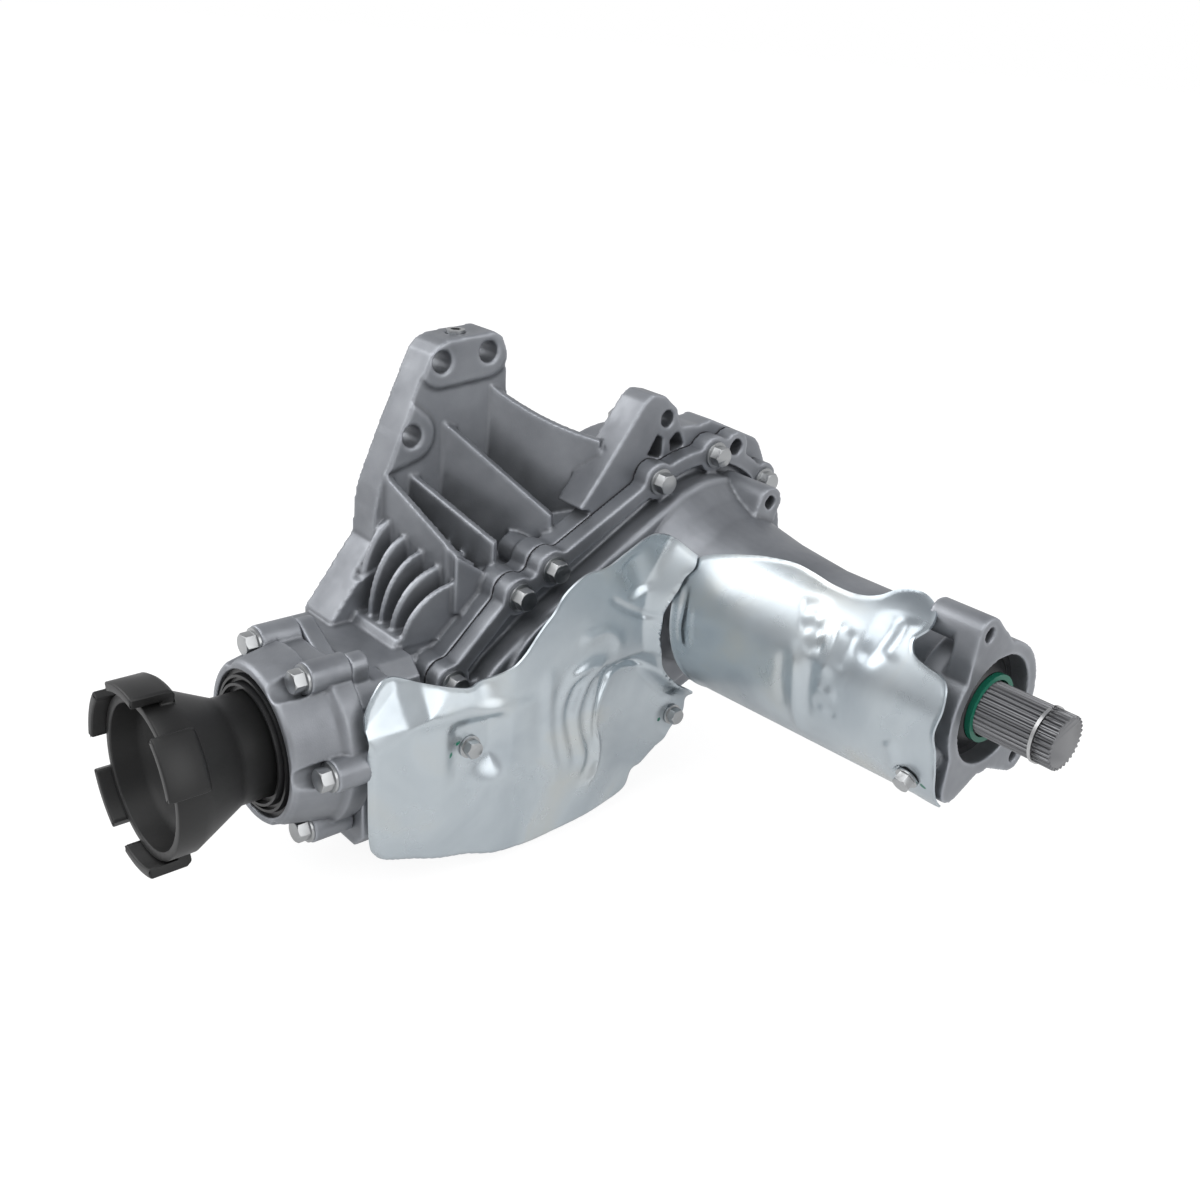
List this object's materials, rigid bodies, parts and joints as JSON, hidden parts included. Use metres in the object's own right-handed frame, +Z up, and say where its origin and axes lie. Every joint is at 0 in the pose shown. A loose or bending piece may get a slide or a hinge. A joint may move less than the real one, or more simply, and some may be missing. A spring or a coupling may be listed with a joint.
{
  "type": "transfer case",
  "caption": "Power transfer unit that takes drive from a transmission to a right half shaft and a rear output flange, in a ribbed cast housing with a long tube and pressed heat shields",
  "frame": {"origin": "on the input axis, in the plane of the mounting face towards the transmission", "axes": "+X along the tube and the right half shaft, -Y out of the output flange, +Z up as in the picture"},
  "size_m": [0.399, 0.4448, 0.279],
  "materials": {
    "cast_aluminium": "as-cast matt",
    "zinc_sheet": "galvanised sheet",
    "machined_steel": "machined",
    "shaft_steel": "machined and oiled",
    "plated_bolt": "zinc plated",
    "black_steel": "black satin coating",
    "seal_rubber": "satin rubber",
    "green_rubber": "satin rubber",
    "gasket_coat": "sealant",
    "black_plastic": "moulded"
  },
  "bodies": {
    "housing": {"main_case": "cast_aluminium", "right_cover": "cast_aluminium", "pinion_cover": "cast_aluminium", "case_gasket": "gasket_coat", "lower_heat_shield": "zinc_sheet", "tube_heat_shield": "zinc_sheet", "cover_bolts": "plated_bolt", "pinion_cover_bolts": "plated_bolt", "heat_shield_bolts": "plated_bolt", "dowel_pins": "machined_steel", "drain_plug": "plated_bolt", "fill_plug": "plated_bolt", "plate_plug": "plated_bolt", "output_seal": "seal_rubber", "tube_end_seal": "seal_rubber", "input_seal": "seal_rubber", "seal_lip": "green_rubber", "spigot_o_ring": "seal_rubber", "pinion_shim": "machined_steel", "vent_stem": "black_plastic", "input_rear_bearing_cup": "machined_steel", "input_front_bearing_cup": "machined_steel", "transfer_rear_bearing_cup": "machined_steel", "transfer_front_bearing_cup": "machined_steel", "pinion_head_bearing_cup": "machined_steel", "pinion_tail_bearing_cup": "machined_steel", "tube_bearing_cup": "machined_steel"},
    "input_assembly": {"input_shaft": "machined_steel", "input_gear": "machined_steel", "input_rear_bearing_cone": "machined_steel", "input_front_bearing_cone": "machined_steel"},
    "transfer_assembly": {"transfer_shaft": "machined_steel", "transfer_gear": "machined_steel", "ring_gear": "machined_steel", "transfer_rear_bearing_cone": "machined_steel", "transfer_front_bearing_cone": "machined_steel"},
    "pinion_assembly": {"pinion": "machined_steel", "output_flange": "black_steel", "output_nut": "machined_steel", "pinion_spacer": "machined_steel", "pinion_head_bearing_cone": "machined_steel", "pinion_tail_bearing_cone": "machined_steel"},
    "intermediate_assembly": {"intermediate_shaft": "shaft_steel", "snap_ring": "machined_steel", "tube_bearing_cone": "machined_steel"},
    "vent_cap_body": {"vent_cap": "plated_bolt"}
  },
  "joints": [
    {"name": "transfer_shaft_spin", "type": "hinge", "parent": "housing", "child": "transfer_assembly", "pos_m": [0, -0.10495, -0.05], "axis": [1, 0, 0], "continuous": true},
    {"name": "input_shaft_spin", "type": "hinge", "parent": "housing", "child": "input_assembly", "pos_m": [0, 0, 0], "axis": [1, 0, 0], "continuous": true},
    {"name": "pinion_spin", "type": "hinge", "parent": "housing", "child": "pinion_assembly", "pos_m": [0.066, -0.2, -0.05], "axis": [0, 1, 0], "continuous": true},
    {"name": "intermediate_shaft_spin", "type": "hinge", "parent": "housing", "child": "intermediate_assembly", "pos_m": [0, 0, 0], "axis": [1, 0, 0], "continuous": true},
    {"name": "vent_cap_lift", "type": "slide", "parent": "housing", "child": "vent_cap_body", "axis": [0, 0, 1], "range_m": [0, 0.0015]}
  ],
  "couplings": [
    {"joint": "input_shaft_spin", "follows": "transfer_shaft_spin", "ratio": -0.86},
    {"joint": "pinion_spin", "follows": "transfer_shaft_spin", "ratio": 1.65}
  ]
}
